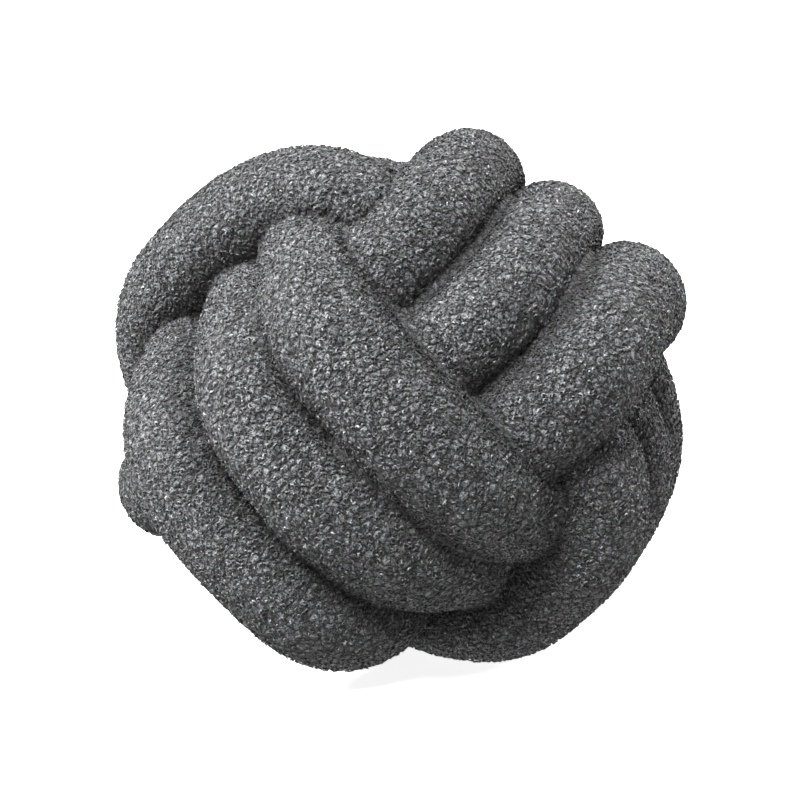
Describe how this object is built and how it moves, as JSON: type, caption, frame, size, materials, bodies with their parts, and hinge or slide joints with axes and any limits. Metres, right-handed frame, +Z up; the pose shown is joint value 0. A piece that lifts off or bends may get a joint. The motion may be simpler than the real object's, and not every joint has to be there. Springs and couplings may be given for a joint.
{
  "type": "knot cushion",
  "caption": "Ball-shaped knot cushion tied from one long stuffed tube of charcoal-grey curly fleece, in bands that cross over and under each other.",
  "frame": {"origin": "on the floor, under the middle of the ball's bounding box", "axes": "+Z up, -Y towards the front that the picture shows, +X to the right"},
  "size_m": [0.2836, 0.2836, 0.2534],
  "materials": {
    "charcoal_fleece": "matte curly fleece"
  },
  "bodies": {
    "root": {"stuffed_tube_knot": "charcoal_fleece"}
  },
  "joints": []
}
